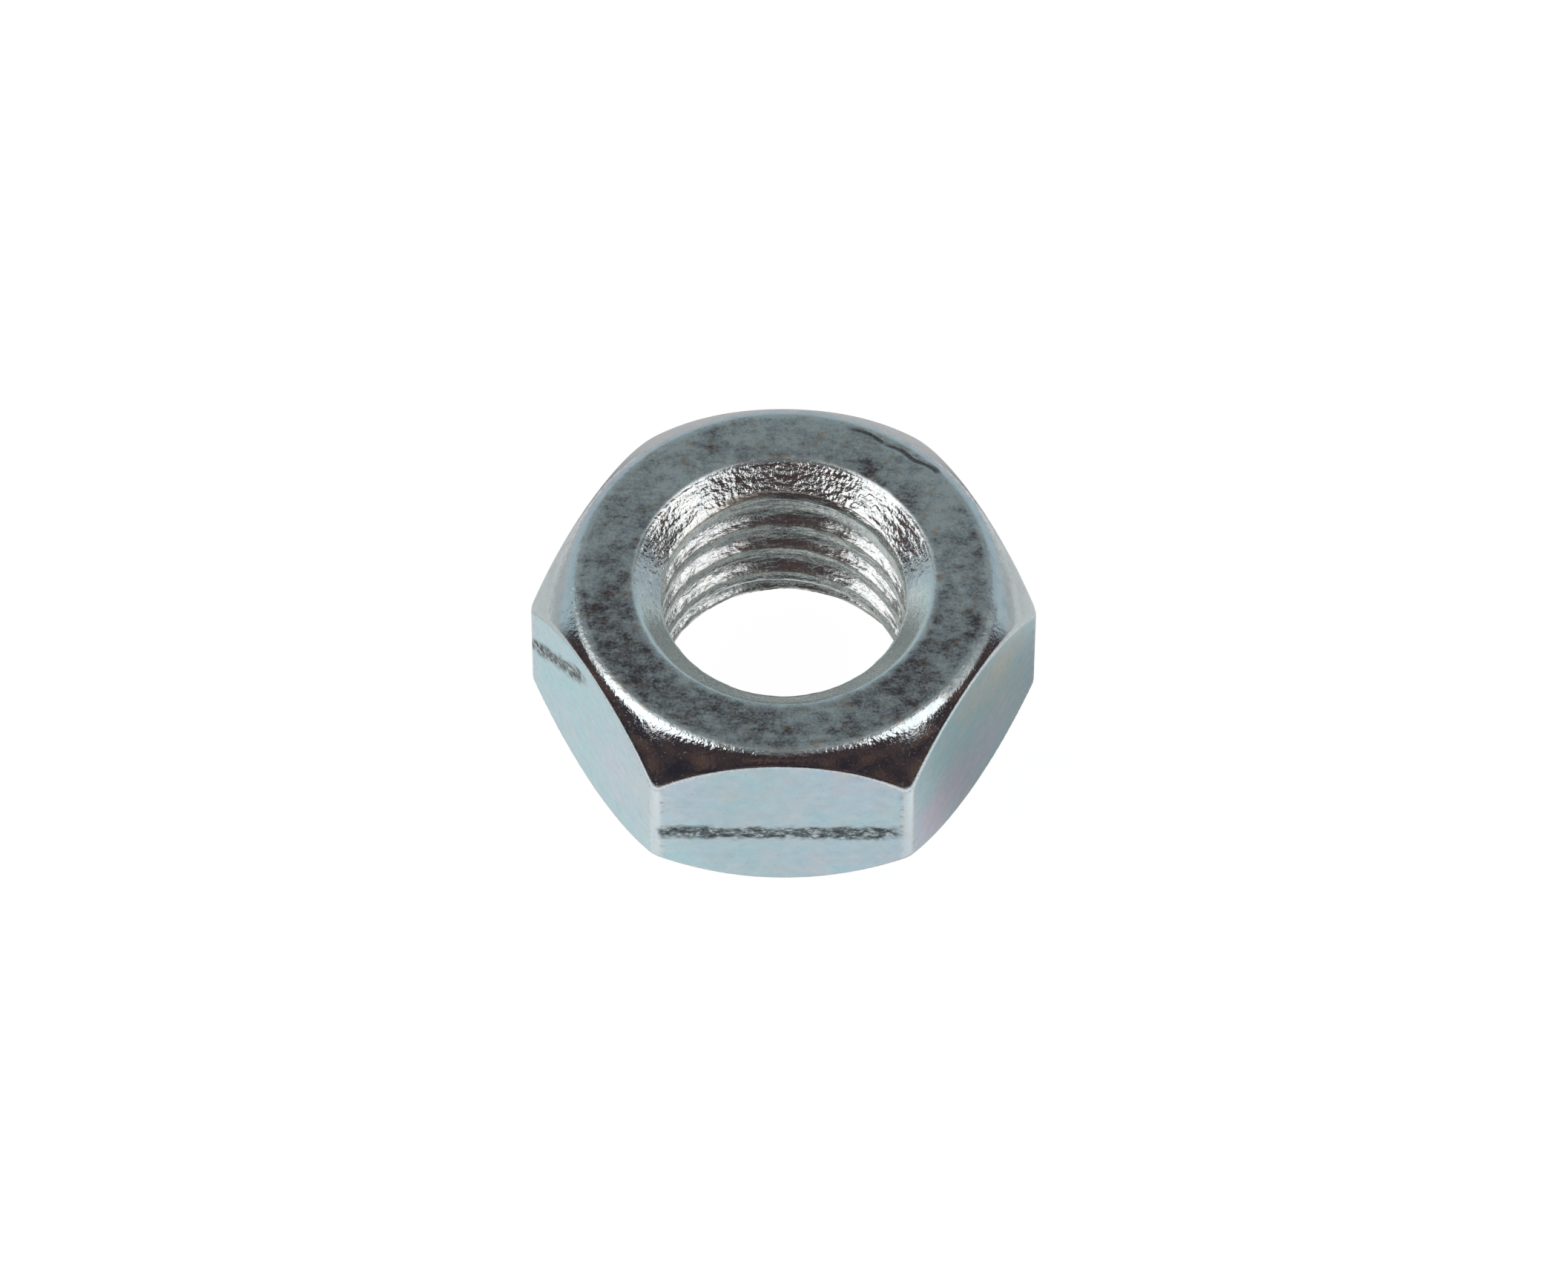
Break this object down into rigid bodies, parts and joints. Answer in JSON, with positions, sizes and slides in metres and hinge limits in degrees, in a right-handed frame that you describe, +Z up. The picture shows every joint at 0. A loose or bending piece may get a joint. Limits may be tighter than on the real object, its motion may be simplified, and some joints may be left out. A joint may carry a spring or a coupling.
{
  "type": "hex nut",
  "caption": "Steel hexagon nut with a right-hand metric coarse thread, both faces chamfered and both ends of the hole countersunk.",
  "frame": {"origin": "centre of the lower bearing face, on the thread's axis", "axes": "+Z up along the thread's axis towards the upper bearing face, X through two opposite corners, Y through the middles of two opposite flats"},
  "size_m": [0.0252, 0.022, 0.0107],
  "materials": {
    "zinc_plated_steel": "zinc plated with a clear blue passivation over cold-forged steel, satin with a fine grain"
  },
  "bodies": {
    "root": {"hex_nut": "zinc_plated_steel"}
  },
  "joints": []
}
